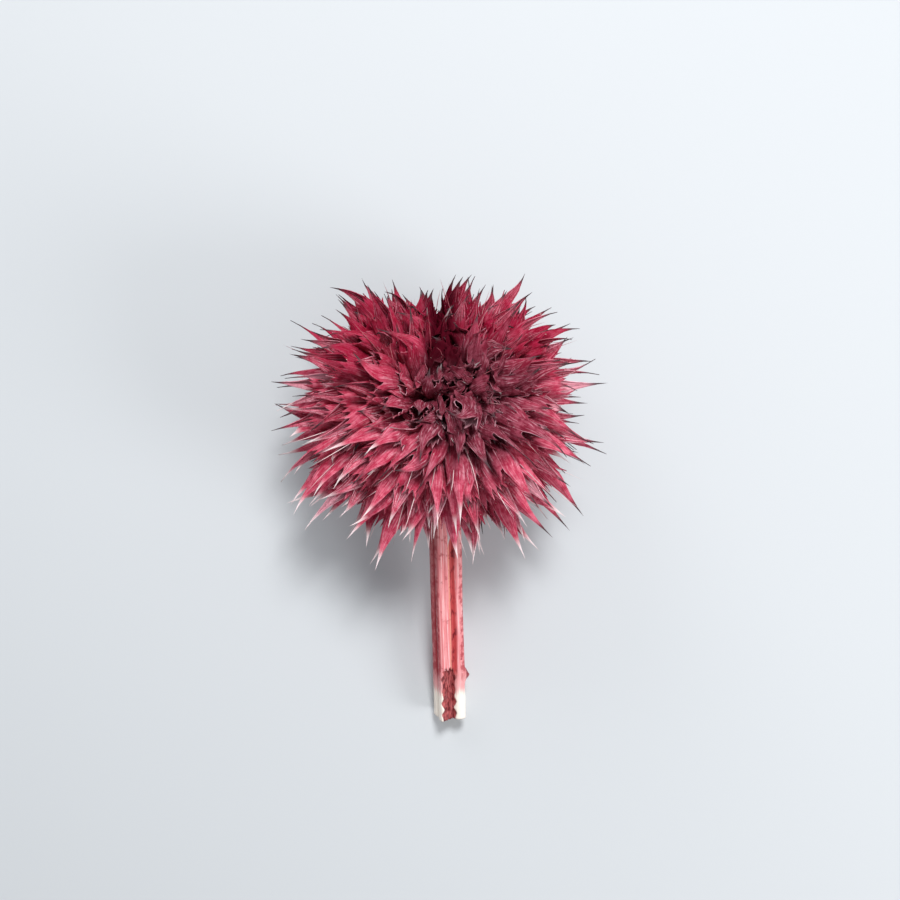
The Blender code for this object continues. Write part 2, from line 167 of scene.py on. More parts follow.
def build_stem_mesh():
    """The stem's skin round its axis, both ends closed: the cut end by a face of pith, the stub's end
    by skin.
    """
    bm = bmesh.new()
    bmesh.ops.create_circle(bm, segments=STEM_SIDES, radius=1.0)
    around = bm.verts.layers.float.new("around")
    along = bm.verts.layers.float.new("along")
    for vert in bm.verts:
        vert[around] = math.atan2(vert.co.y, vert.co.x)
        vert[along] = CUT_END
    edges = bm.edges[:]
    for row in range(1, STEM_ROWS + 1):
        verts, edges = extrude_ring(bm, edges)
        for vert in verts:
            vert[along] = CUT_END + (STUB_END - CUT_END) * row / STEM_ROWS
    torn = bm.verts.layers.float.new("torn")
    scarred = bm.verts.layers.float.new("scarred")
    for vert in bm.verts:
        angle, y = vert[around], vert[along]
        radius = stem_radius(angle, y)
        vert[scarred] = leaf_scar(angle, y)
        vert.co = (radius * math.cos(angle), y, radius * math.sin(angle))
        vert[torn] = tear_at(vert.co.x, y) if math.sin(angle) > 0.5 else 0.0
    uv = bm.loops.layers.uv.new("stem")
    for face in bm.faces:
        angles = [loop.vert[around] for loop in face.loops]
        wraps = max(angles) - min(angles) > math.pi
        for loop, angle in zip(face.loops, angles):
            turn = angle + 2 * math.pi if wraps and angle < 0.0 else angle
            loop[uv].uv = (turn / (2 * math.pi), loop.vert[along])
    for face in bmesh.ops.holes_fill(bm, edges=bm.edges)["faces"]:
        face.material_index = 1 if face.verts[0].co.y < 0.0 else 0
        for loop in face.loops:
            loop[uv].uv = (loop.vert.co.x, loop.vert.co.z if face.material_index else 0.0)
    bmesh.ops.recalc_face_normals(bm, faces=bm.faces)
    for vert in bm.verts:
        vert.co = Vector(to_surface(ROLLED @ np.array(vert.co)))
        vert.co.z = max(vert.co.z, 0.0)
    return bm


class Finish:
    """The nodes of one material or node group, and the steps that a finish is laid with."""

    def __init__(self, tree):
        self.nodes, self.links = tree.nodes, tree.links

    def feed(self, socket, value):
        """Link a socket to another one, or set the number, vector or (r, g, b) that it holds."""
        if isinstance(value, bpy.types.NodeSocket):
            self.links.new(value, socket)
        else:
            socket.default_value = (*value, 1.0) if socket.type == "RGBA" else value

    def node(self, kind, feeds=(), **settings):
        """Add a shader node, set its options and feed its inputs."""
        node = self.nodes.new("ShaderNode" + kind)
        for name, value in settings.items():
            setattr(node, name, value)
        for name, value in dict(feeds).items():
            self.feed(node.inputs[name], value)
        return node

    def maths(self, operation, *values, clamp=False):
        """One step of arithmetic on numbers and sockets."""
        node = self.node("Math", operation=operation, use_clamp=clamp)
        for socket, value in zip(node.inputs, values):
            self.feed(socket, value)
        return node.outputs[0]

    add = partialmethod(maths, "ADD")
    times = partialmethod(maths, "MULTIPLY")
    slope = partialmethod(maths, "MULTIPLY_ADD")  # value, steepness, start
    size = partialmethod(maths, "ABSOLUTE")

    def fade(self, value, start, end, low=0.0, high=1.0):
        """A smooth step of a value from low at start to high at end."""
        ends = {"Value": value, "From Min": start, "From Max": end, "To Min": low, "To Max": high}
        return self.node("MapRange", ends, interpolation_type="SMOOTHSTEP").outputs["Result"]

    def mix(self, share, first, second):
        """Lay a second colour over a first one by a share."""
        node = self.node("Mix", data_type="RGBA")
        sockets = {socket.name: socket for socket in node.inputs if socket.enabled}
        for name, value in (("Factor", share), ("A", first), ("B", second)):
            self.feed(sockets[name], value)
        return next(socket for socket in node.outputs if socket.enabled)

    def layers(self, colour, *layers):
        """Lay colours over a first one in turn, each by its own share."""
        for share, over in layers:
            colour = self.mix(share, colour, over)
        return colour

    def noise(self, vector, scale, detail, roughness=0.6):
        """Noise over a vector; three scales stretch it along the axes."""
        if isinstance(scale, tuple):
            vector = self.node("Mapping", {"Vector": vector, "Scale": scale}).outputs["Vector"]
            scale = 1.0
        inputs = {"Vector": vector, "Scale": scale, "Detail": detail, "Roughness": roughness}
        return self.node("TexNoise", inputs).outputs["Fac"]

    def split(self, vector):
        """The x, y and z of a vector."""
        return self.node("SeparateXYZ", {"Vector": vector}).outputs[:]

    def uv(self, name):
        """The mesh's map of that name."""
        return self.node("UVMap", uv_map=name).outputs["UV"]

    def place(self):
        """The place on the object, in metres."""
        return self.node("TexCoord").outputs["Object"]

    def read(self, name):
        """A value that the mesh carries at its vertices."""
        return self.node("Attribute", attribute_name=name).outputs["Fac"]

    def cover(self, colour, height, strength, distance):
        """Give the shader its colour and a relief from a height; returns the material."""
        relief = self.node("Bump", {"Height": height, "Strength": strength, "Distance": distance})
        self.feed(self.shader["Base Color"], colour)
        self.feed(self.shader["Normal"], relief.outputs["Normal"])
        return self.material


def new_finish(name, roughness, specular=0.5):
    """The finish of a new material with one Principled shader."""
    material = bpy.data.materials.new(name)
    material.use_nodes = True
    finish = Finish(material.node_tree)
    finish.material, finish.shader = material, finish.nodes["Principled BSDF"].inputs
    finish.shader["Roughness"].default_value = roughness
    finish.shader["Specular IOR Level"].default_value = specular
    return finish


FURROW_RED = (0.47, 0.050, 0.052)
POOLED_RED = (0.17, 0.004, 0.010)
RIB_PINK = (0.75, 0.23, 0.245)
PALE_FIBRE = (0.96, 0.63, 0.63)
DEEP_FIBRE = (0.52, 0.070, 0.078)
TAN_LINE = (0.72, 0.28, 0.17)
SHADED_LEFT_FACE_RED = (0.40, 0.045, 0.058)
BLOTCH_RED = (0.36, 0.022, 0.036)
FLECK_RED = (0.25, 0.010, 0.018)
DRAINED_PINK = (0.92, 0.47, 0.47)
DRAINED_CREAM = (0.96, 0.86, 0.76)
TORN_DARK = (0.11, 0.006, 0.011)
TORN_RED = (0.46, 0.090, 0.090)
TORN_CRUMB = (0.88, 0.66, 0.56)
SCAR_BROWN = (0.20, 0.014, 0.026)
SHADE_INSIDE_HEAD = (0.13, 0.008, 0.014)


def stem_skin():
    """Dyed skin: pale pink ribs, red furrows, blotches that thicken towards the cut, torn pith,
    painted shade on the left face and on the stub inside the head.
    """
    skin = new_finish("stem_skin", 0.45, 0.35)
    uv = skin.uv("stem")
    around, along, _ = skin.split(uv)
    turn = skin.slope(around, 4.0, 0.085)
    wander = skin.slope(skin.noise(uv, (14.0, 160.0, 1.0), 2.0), 0.10, -0.05)
    rib = skin.fade(skin.add(skin.maths("PINGPONG", turn, 0.5), wander), 0.09, 0.21)
    pool = skin.fade(skin.noise(uv, (14.0, 300.0, 1.0), 3.0), 0.50, 0.62)
    fibre = skin.noise(uv, (85.0, 90.0, 1.0), 4.0)
    pale = skin.times(skin.fade(fibre, 0.46, 0.70, 0.0, 0.80), rib)
    tan = skin.size(skin.add(skin.add(turn, wander), -1.17))
    left_face = skin.fade(skin.size(around), 0.365, 0.395)
    right_rib = skin.fade(skin.size(skin.add(around, -0.13)), 0.05, 0.02)
    low = skin.fade(along, -0.022, CUT_END + 0.012)
    blotch = skin.noise(uv, (15.0, 520.0, 1.0), 2.5)
    spread = skin.slope(skin.maths("MAXIMUM", left_face, right_rib), 0.17, -0.07)
    spread = skin.slope(skin.add(low, 0.35), spread, blotch)
    mottled = skin.fade(spread, 0.50, 0.70, 0.0, 0.8)
    grid = skin.node("Mapping", {"Vector": uv, "Scale": (19.0, 780.0, 1.0)}).outputs["Vector"]
    dots = skin.node("TexVoronoi", {"Vector": grid, "Scale": 1.0}).outputs
    dot_size = skin.node("SeparateColor", {"Color": dots["Color"]}).outputs["Red"]
    dot_size = skin.fade(dot_size, 0.70, 1.0, 0.0, 0.25)
    fleck = skin.fade(skin.maths("SUBTRACT", dot_size, dots["Distance"]), 0.0, 0.12, 0.0, 0.75)
    drained = skin.add(along, skin.slope(fibre, 0.006, -0.003))
    crumbs = skin.noise(uv, (75.0, 700.0, 1.0), 5.0)
    pith = skin.mix(skin.fade(crumbs, 0.36, 0.62), TORN_DARK, TORN_RED)
    pith = skin.mix(skin.fade(crumbs, 0.66, 0.74), pith, TORN_CRUMB)
    colour = skin.layers(
        skin.mix(rib, skin.mix(pool, FURROW_RED, POOLED_RED), RIB_PINK),
        (pale, PALE_FIBRE),
        (skin.fade(fibre, 0.46, 0.28, 0.0, 0.75), DEEP_FIBRE),
        (skin.fade(tan, 0.050, 0.015, 0.0, 0.65), TAN_LINE),
        # Painted shade: the left face, turned from the lamps, is laid over with a deeper red.
        (skin.times(left_face, 0.6), SHADED_LEFT_FACE_RED),
        (mottled, BLOTCH_RED),
        (fleck, FLECK_RED),
        (skin.fade(drained, CUT_END + 0.0125, CUT_END + 0.0080, 0.0, 0.7), DRAINED_PINK),
        (skin.fade(drained, CUT_END + 0.0080, CUT_END + 0.0055), DRAINED_CREAM),
        (skin.fade(skin.read("torn"), 0.15, 0.6), pith),
        (skin.fade(skin.read("scarred"), 0.15, 0.55, 0.0, 0.85), SCAR_BROWN),
        # Painted shade: the part of the stem inside the head turns near black.
        (skin.fade(along, -0.020, -0.010, 0.0, 0.9), SHADE_INSIDE_HEAD))
    skin.feed(skin.shader["Roughness"], skin.slope(mottled, 0.25, 0.42))
    height = skin.slope(fibre, 0.6, blotch)
    height = skin.slope(fleck, -0.5, height)
    return skin.cover(colour, height, 0.55, 0.00025)


PITH_CREAM = (0.80, 0.66, 0.50)
RIND_RED = (0.50, 0.17, 0.14)
PORE_BROWN = (0.42, 0.25, 0.17)


def stem_pith():
    """The cut face: spongy cream pith inside a thin, darker, dyed rind."""
    pith = new_finish("stem_pith", 0.9)
    uv = pith.uv("stem")
    pores = pith.node("TexVoronoi", {"Vector": uv, "Scale": 3200.0}).outputs["Distance"]
    middle = pith.node("VectorMath", {0: uv}, operation="LENGTH").outputs["Value"]
    rind = pith.fade(middle, STEM_WIDTH * 0.36, STEM_WIDTH * 0.47)
    colour = pith.layers(PITH_CREAM, (rind, RIND_RED),
                         (pith.fade(pores, 0.15, 0.55, 0.5, 0.0), PORE_BROWN))
    return pith.cover(colour, pores, 0.7, 0.0002)


add_piece("stem_skin_and_pith", build_stem_mesh(), [stem_skin(), stem_pith()], "stem")

# ---------------- the half-whorls
# Two short woody cushions, left and right of the stem, that every calyx grows from. They are
# buried at the bottom of the gaps between the calyces.

WOOD_DARK = (0.05, 0.008, 0.013)
WOOD_LIGHT = (0.19, 0.050, 0.055)

wood = new_finish("cyme_wood", 0.85)
grain = wood.noise(wood.place(), 900.0, 5.0)
wood_colour = wood.mix(wood.fade(grain, 0.35, 0.70), WOOD_DARK, WOOD_LIGHT)
cyme_wood = wood.cover(wood_colour, grain, 0.8, 0.0003)
for name in ("cyme_left", "cyme_right"):
    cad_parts[name].data.materials.clear()
    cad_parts[name].data.materials.append(cyme_wood)

# ---------------- the calyces
# 240 ribbed paper tubes, each with one long upper tooth drawn out into a spine and seven
# small teeth round the rest of its mouth, with smaller ones in the gaps and shrivelled young
# ones on the crown. They fan out in branched groups of about five.

HEAD_HALVES = np.array([0.0332, 0.0298, 0.0282])
HEAD_SQUARENESS = 2.7
HEAD_SHIFT = np.array([-0.0012, -0.0040, 0.0])
PARTING = 0.07
CYME_RADIUS = 0.0072
GAP = 0.0003
CLUSTERS_PER_SIDE = 24
CALYCES_PER_SIDE = 120
CALYX_HALF_WIDTH = 0.0024
CALYX_BASE_HALF_WIDTH = 0.0006
MOUTH_AT = 0.62
CLUSTER_JOINED_UP_TO = 0.35
SPINE_HALF_WIDTH = 0.00015
WIDTH_SHARES = np.linspace(0.08, 1.0, 24)
STEM_SIDE_OPENING = math.radians(23.0)
FAR_SIDE_OPENING = math.radians(8.0)
FOOT_LATITUDE = math.radians(40.0)
NECK_LATITUDE = math.radians(58.0)
SWEEP_POLE = np.array(Vector((0.11, 0.42, 0.90)).normalized())
SWEEP = 0.22
GOLDEN = (math.sqrt(5.0) - 1.0) / 2.0
FOOT_LENGTH = 0.0032


def unit(vectors):
    """The same vectors, each 1 long."""
    return vectors / np.linalg.norm(vectors, axis=-1, keepdims=True)


def spread_directions(count, side):
    """Even directions over one side of the whorl, from the stem's end of it to the far end."""
    index = np.arange(count) + 0.5
    level = index / count
    lowest = -math.cos(STEM_SIDE_OPENING)
    highest = math.cos(FAR_SIDE_OPENING)
    along = lowest + (highest - lowest) * level
    share = np.modf(index * GOLDEN)[0]
    around = math.pi * (share + side)
    across = np.sqrt(1.0 - along * along)
    return np.stack([across * np.sin(around), along, across * np.cos(around)], axis=1)


def drawn_in(directions, highest):
    """The same directions drawn in towards the middle of the whorl, up to a highest latitude."""
    latitude = np.arcsin(directions[:, 1])
    stem_side = highest / (math.pi / 2 - STEM_SIDE_OPENING)
    far_side = highest / (math.pi / 2 - FAR_SIDE_OPENING)
    lowered = latitude * np.where(latitude < 0.0, stem_side, far_side)
    flat = unit(directions[:, [0, 2]])
    level = np.cos(lowered)
    return np.stack([flat[:, 0] * level, np.sin(lowered), flat[:, 1] * level], axis=1)


def swept_directions(directions):
    """Directions of the spine tips, combed away from the crown and from the underside."""
    towards_pole = directions @ SWEEP_POLE
    angle = np.arccos(np.clip(towards_pole, -1.0, 1.0))
    sideways = unit(directions - towards_pole[:, None] * SWEEP_POLE)
    swept = angle + SWEEP * np.sin(2.0 * angle)
    return np.cos(swept)[:, None] * SWEEP_POLE + np.sin(swept)[:, None] * sideways


def ease_apart(directions, spacing):
    """Push crowded directions apart until neighbours are about a spacing from each other."""
    for _ in range(12):
        offset = directions[:, None, :] - directions[None, :, :]
        distance = np.linalg.norm(offset, axis=2)
        crowding = np.clip(spacing - distance, 0.0, None)
        np.fill_diagonal(distance, 1.0)
        np.fill_diagonal(crowding, 0.0)
        push = (0.3 * crowding / distance)[:, :, None]
        directions = unit(directions + (offset * push).sum(axis=1))
    return directions


def bezier(points, share):
    """Points and tangents along cubic curves, for curve control points (count, 4, 3)."""
    share = np.asarray(share, dtype=float)[None, :, None]
    p0, p1, p2, p3 = (points[:, None, i, :] for i in range(4))
    rest = 1.0 - share
    place = rest**3 * p0 + 3 * rest**2 * share * p1 + 3 * rest * share**2 * p2 + share**3 * p3
    tangent = rest**2 * (p1 - p0) + 2 * rest * share * (p2 - p1) + share**2 * (p3 - p2)
    return place, unit(tangent)


def full_width(share):
    """Half-width that a calyx would have along its length with room all round."""
    flare = CALYX_BASE_HALF_WIDTH + (CALYX_HALF_WIDTH - CALYX_BASE_HALF_WIDTH) * share / MOUTH_AT
    tooth = CALYX_HALF_WIDTH * (1.0 - share) / (1.0 - MOUTH_AT)
    return np.where(share <= MOUTH_AT, flare, tooth)


def parted(directions):
    """The same directions with a parting opened between the half-whorls, up to the far end."""
    ease = np.clip((directions[:, 1] + 0.10) / 0.45, 0.0, 1.0)
    half_gap = PARTING * ease * ease * (3.0 - 2.0 * ease)
    across = np.sign(directions[:, 0]) * np.hypot(directions[:, 0], half_gap)
    return unit(np.column_stack([across, directions[:, 1:]]))


def lay_out_calyces():
    """Curve, cluster and roll of every calyx."""
    rng = np.random.default_rng(123)
    mouths, clusters = [], []
    for side in (0, 1):
        directions = spread_directions(CALYCES_PER_SIDE, side)
        cluster_directions = spread_directions(CLUSTERS_PER_SIDE, side)
        mouths.append(directions)
        closest = np.argmax(directions @ cluster_directions.T, axis=1)
        clusters.append(closest + side * CLUSTERS_PER_SIDE)
    mouths = np.concatenate(mouths)
    clusters = np.concatenate(clusters)
    mouths = parted(ease_apart(unit(mouths + rng.normal(0.0, 0.045, mouths.shape)), 0.23))
    feet = drawn_in(mouths, FOOT_LATITUDE)
    every_cluster = range(2 * CLUSTERS_PER_SIDE)
    centres = unit(np.stack([feet[clusters == c].mean(axis=0) for c in every_cluster]))
    centres = ease_apart(centres, 0.42)
    stray = rng.normal(0.0, 0.05, (len(every_cluster), 3))[clusters]
    stray = stray + rng.normal(0.0, 0.03, mouths.shape)
    tips = unit(swept_directions(mouths) + stray)
    outline = (np.abs(tips / HEAD_HALVES) ** HEAD_SQUARENESS).sum(axis=1)
    outline = outline ** (-1.0 / HEAD_SQUARENESS)
    reach = (outline + tips @ HEAD_SHIFT) * rng.uniform(0.86, 1.03, len(tips))
    surface = HEAD_REST_HEIGHT / np.maximum(-(tips @ SURFACE_NORMAL), 0.05)
    reach = np.minimum(reach, surface - SPINE_HALF_WIDTH)
    necks = drawn_in(mouths, NECK_LATITUDE)
    foot = CYME_RADIUS + GAP + 0.25 * FOOT_LENGTH
    points = np.stack([
        foot * unit(0.85 * centres[clusters] + 0.15 * necks),
        0.43 * reach[:, None] * necks,
        0.74 * reach[:, None] * mouths,
        reach[:, None] * tips,
    ], axis=1)
    roll = rng.normal(0.0, 0.45, len(tips))
    return points, clusters, roll


def nearest(places, others):
    """Distance from each place to the nearest of some others."""
    offset = places[:, None, :] - others.reshape(-1, 3)[None, :, :]
    return np.sqrt((offset**2).sum(axis=2)).min(axis=1)


def fit_widths(points, clusters):
    """Half-width of each calyx at WIDTH_SHARES, narrowed where a neighbour or the stem is close."""
    places, _ = bezier(points, WIDTH_SHARES)
    round_stem = np.abs(places @ ROLLED)
    free = WIDTH_SHARES > CLUSTER_JOINED_UP_TO
    widths = np.empty(places.shape[:2])
    for i, cluster in enumerate(clusters):
        room = nearest(places[i], places[clusters != cluster]) / 2 - GAP
        siblings = np.flatnonzero(clusters == cluster)
        siblings = places[siblings[siblings != i]][:, free]
        room[free] = np.minimum(room[free], nearest(places[i][free], siblings) / 2 - GAP)
        beside_stem = np.maximum(round_stem[i][:, 0], round_stem[i][:, 2]) - STEM_WIDTH / 2
        past_stub = places[i][:, 1] - STUB_END
        room = np.minimum(room, np.maximum(beside_stem, past_stub) - GAP)
        room = np.minimum(room, places[i] @ SURFACE_NORMAL + HEAD_REST_HEIGHT)
        widths[i] = np.clip(room, SPINE_HALF_WIDTH, full_width(WIDTH_SHARES))
    return widths


RIBS = 10
COLUMNS_PER_RIB = 3
TUBE_ROWS = (0.05, 0.20, 0.32, 0.42, 0.51, 0.58, 0.64, 0.69)
TOOTH_ROWS = (0.715, 0.74, 0.77, 0.80, 0.84, 0.88, 0.94)
UPPER_TOOTH_COLUMNS = 4
SMALL_COLUMNS_PER_RIB = 2
SMALL_TUBE_ROWS = (0.10, 0.30, 0.46, 0.59, 0.69)
SMALL_TOOTH_ROWS = (0.73, 0.78, 0.85, 0.93)
SMALL_UPPER_TOOTH_COLUMNS = 3
PLEAT = 0.11
SMALL_TEETH = 7
CALYX_FULLNESS = 1.30
LEAST_FULLNESS = 0.86
SMALL_CALYX_COUNT = 165
NECK_CALYX_COUNT = 9
CROWN_SPREAD = 0.55
CROWN_EDGE = 0.45
PAPER = 0.00013


def pleated(column, columns_per_rib, depth):
    """Place of a column round the folded tube, creased between the ribs; column 0 is the keel."""
    angle = 2 * math.pi * column
    angle += 0.25 * math.sin(angle)
    across, up = math.sin(angle), math.cos(angle)
    fold = 1.35 if up > 0.0 else 1.7
    radius = (abs(across) ** fold + abs(up) ** fold) ** (-1.0 / fold)
    if round(column * RIBS * columns_per_rib) % columns_per_rib:
        radius *= 1.0 - depth
    return radius * across, radius * up


def tooth_width(share):
    """Width of the upper tooth from its foot at 0 to its tip at 1: hollow flanks, then a spine."""
    return (1.0 - share) ** 2.2 * (1.0 + 1.2 * share) + 0.035 * (1.0 - share)


def mark_rim(bm, on_rim):
    """Note which vertices are on the free rim, and keep every open edge sharp."""
    rim_of = bm.verts.layers.float.new("rim")
    for vert in bm.verts:
        vert[rim_of] = float(on_rim(vert))
    for edge in bm.edges:
        edge.smooth = not edge.is_boundary


def build_calyx_blank(columns_per_rib, tube_rows, tooth_rows, tooth_columns):
    """A straight calyx of unit length and half-width, upper side towards +Y, with its map."""
    columns = RIBS * columns_per_rib
    bm = bmesh.new()
    bmesh.ops.create_circle(bm, segments=columns, radius=1.0)
    column_of = bm.verts.layers.float.new("column")
    for vert in bm.verts:
        vert[column_of] = math.atan2(vert.co.x, vert.co.y) / (2 * math.pi)
        vert.co.z = 0.0
    edges = bm.edges[:]
    rings = [bm.verts[:]]
    for share in tube_rows:
        verts, edges = extrude_ring(bm, edges)
        for vert in verts:
            vert.co.z = share
        rings.append(verts)
    for ring in rings:
        for vert in ring:
            vert.co.x, vert.co.y = pleated(vert[column_of], columns_per_rib, PLEAT)
    top = (tooth_columns + 0.6) / columns
    upper = [edge for edge in edges if all(abs(vert[column_of]) < top for vert in edge.verts)]
    rest = [edge for edge in edges if edge not in upper]
    rest.sort(key=lambda edge: sum(vert[column_of] % 1.0 for vert in edge.verts))
    mouth = tube_rows[-1]
    edges = upper
    for share in tooth_rows:
        verts, edges = extrude_ring(bm, edges)
        grown = (share - mouth) / (1.0 - mouth)
        wide = tooth_width(grown)
        for vert in verts:
            x, y = pleated(vert[column_of], columns_per_rib, PLEAT * (1.0 - 0.4 * grown))
            curl = 0.22 * wide * (abs(vert[column_of]) * columns / tooth_columns) ** 4 * grown
            vert.co = (x * wide, (1.0 - grown) + (y - 1.0) * wide + curl, share)
    verts, _ = extrude_ring(bm, edges)
    bmesh.ops.pointmerge(bm, verts=verts, merge_co=(0.0, 0.0, 1.0))
    per_tooth = len(rest) // SMALL_TEETH
    for tooth in range(SMALL_TEETH):
        ring = rest[tooth * per_tooth:(tooth + 1) * per_tooth]
        length = (0.065, 0.045, 0.075, 0.055)[tooth % 4]
        for step, narrow, flare in ((0.30, 0.50, 1.03), (1.0, 0.0, 1.20)):
            verts, ring = extrude_ring(bm, ring)
            middle = sum((vert.co for vert in verts), Vector()) / len(verts)
            for vert in verts:
                vert.co = middle + (vert.co - middle) * narrow
                vert.co.x *= flare
                vert.co.y *= flare
                vert.co.z = mouth + length * step
        bmesh.ops.remove_doubles(bm, verts=verts, dist=0.0001)
    bmesh.ops.recalc_face_normals(bm, faces=bm.faces)
    mark_rim(bm, lambda vert: vert.is_boundary and vert.co.z > 0.5)
    uv = bm.loops.layers.uv.new("calyx")
    for face in bm.faces:
        places = [loop.vert[column_of] for loop in face.loops]
        wraps = max(places) - min(places) > 0.5
        for loop, column in zip(face.loops, places):
            loop[uv].uv = (column + 1.0 if wraps and column < 0.0 else column, loop.vert.co.z)
    return finished_mesh("calyx_blank", bm)


def upper_sides(tangents):
    """The side of each calyx that carries its long tooth: outwards from the crown and far end."""
    facing = np.where(tangents @ SWEEP_POLE > 0.0, 1.0, -1.0)
    wanted = facing[:, None] * SWEEP_POLE + np.array([0.0, 0.6, 0.0])
    return unit(wanted - (wanted * tangents).sum(axis=1)[:, None] * tangents)


def crown_closeness(directions):
    """1 at the crown that faces up, falling to 0 away from it."""
    angle = np.arccos(np.clip(directions @ SWEEP_POLE, -1.0, 1.0))
    return np.exp(-(angle / CROWN_SPREAD) ** 2)


def disordered(curve, closeness, rng):
    """The curve of a calyx knocked about, the more so the nearer it is to the crown."""
    moved = curve.copy()
    moved[2] += (0.0007 + 0.0017 * closeness) * rng.normal(0.0, 1.0, 3)
    moved[3] = moved[3] * (1.0 - 0.14 * closeness * rng.uniform(0.0, 1.5))
    moved[3] += (0.0012 + 0.0054 * closeness) * rng.normal(0.0, 1.0, 3)
    moved[3] *= min(1.0, 1.02 * np.linalg.norm(curve[3]) / np.linalg.norm(moved[3]))
    right, far, _ = unit(curve[3])
    moved[3] *= 1.0 + 0.08 * max(-far, 0.0) + (0.05 * max(right, 0.0) if far < 0.2 else 0.0)
    if curve[3, 1] > 0.5 * HEAD_HALVES[1]:
        moved[3] *= 1.0 - 0.11 * math.exp(-((curve[3, 0] + 0.008) / 0.007) ** 2)
    return moved


def ruffle(points, per_metre):
    """A push for each point, up to 1 long and alike for points that are close together."""
    return np.array([noise.noise_vector(Vector(point * per_metre)) for point in points])


def bend_calyx(flat, curve, widths, roll, crumpled, rng, least=LEAST_FULLNESS, tooth_left=1.0):
    """Vertex places of the blank, folded, crumpled and bent along one calyx's curve."""
    mouth = TUBE_ROWS[-1]
    share = np.where(flat[:, 2] > mouth, mouth + (flat[:, 2] - mouth) * tooth_left, flat[:, 2])
    place, tangent = bezier(curve[None], share)
    place, tangent = place[0], tangent[0]
    tip_tangent = bezier(curve[None], [1.0])[1][0]
    upper = upper_sides(tip_tangent)
    upper = unit(upper - (upper * tangent).sum(axis=1)[:, None] * tangent)
    right = np.cross(upper, tangent)
    seed = rng.uniform(0.0, 100.0)
    folds, creases = (
        np.array([noise.noise(Vector((wide * x, wide * y, long * z + shift))) for x, y, z in flat])
        for wide, long, shift in ((1.3, 2.2, seed), (3.4, 4.5, -seed)))
    fold = 1.0 + (0.45 + 0.35 * crumpled) * folds + 0.11 * creases
    squash = rng.uniform(0.62, 0.95) - 0.25 * crumpled
    phase = rng.uniform(0.0, 2 * math.pi, 2)
    x = flat[:, 0] * fold * (1.15 - 0.15 * squash)
    y = flat[:, 1] * fold * squash
    x = x + (0.20 + 0.3 * crumpled) * np.sin(7.0 * share + phase[0]) * share
    y = y + (0.20 + 0.3 * crumpled) * np.sin(6.0 * share + phase[1]) * share
    twist = roll + rng.normal(0.0, 0.6 + crumpled) * (share - 0.5)
    across = x * np.cos(twist) - y * np.sin(twist)
    up = x * np.sin(twist) + y * np.cos(twist)
    width = CALYX_FULLNESS * np.interp(np.minimum(share, MOUTH_AT), WIDTH_SHARES, widths)
    width = np.maximum(width, least * full_width(np.minimum(share, MOUTH_AT)))
    bent = place + width[:, None] * (across[:, None] * right + up[:, None] * upper)
    past_mouth = np.clip((share - MOUTH_AT) / (1.0 - MOUTH_AT), 0.0, 1.0)[:, None]
    lean = rng.normal(0.0, 0.0011) * upper + rng.normal(0.0, 0.0010) * right
    bent = bent + past_mouth**2 * lean
    firm = np.sin(math.pi * np.minimum(share, 0.85) / 0.9)[:, None]
    bent = bent + firm * (0.00022 + 0.0008 * crumpled) * ruffle(bent, 380.0)
    laid = to_surface(bent)
    laid[:, 2] = np.maximum(laid[:, 2], PAPER)
    return laid


CRIMSON = (0.375, 0.021, 0.064)
ROSE = (0.71, 0.158, 0.234)
PALE_PINK = (0.94, 0.61, 0.69)
PLUM = (0.285, 0.060, 0.094)
OXBLOOD = (0.23, 0.002, 0.016)
DEEP_ROSE = (0.38, 0.006, 0.040)
DEEP_SHADE = (0.075, 0.003, 0.010)
BUFF_DUST = (0.62, 0.46, 0.42)
SPINE_BLACK = (0.028, 0.006, 0.012)
SPINE_STRAW = (0.93, 0.78, 0.79)
PLUM_CENTRE = (0.0068, -0.0028, 0.023)


def new_group(name, inputs, outputs):
    """An empty node group; returns it with its finish, its input and its output sockets."""
    group = bpy.data.node_groups.new(name, "ShaderNodeTree")
    for way, sockets in (("INPUT", inputs), ("OUTPUT", outputs)):
        for label, kind in sockets.items():
            group.interface.new_socket(label, in_out=way, socket_type="NodeSocket" + kind)
    entry, leave = group.nodes.new("NodeGroupInput"), group.nodes.new("NodeGroupOutput")
    return group, Finish(group), entry.outputs, leave.inputs


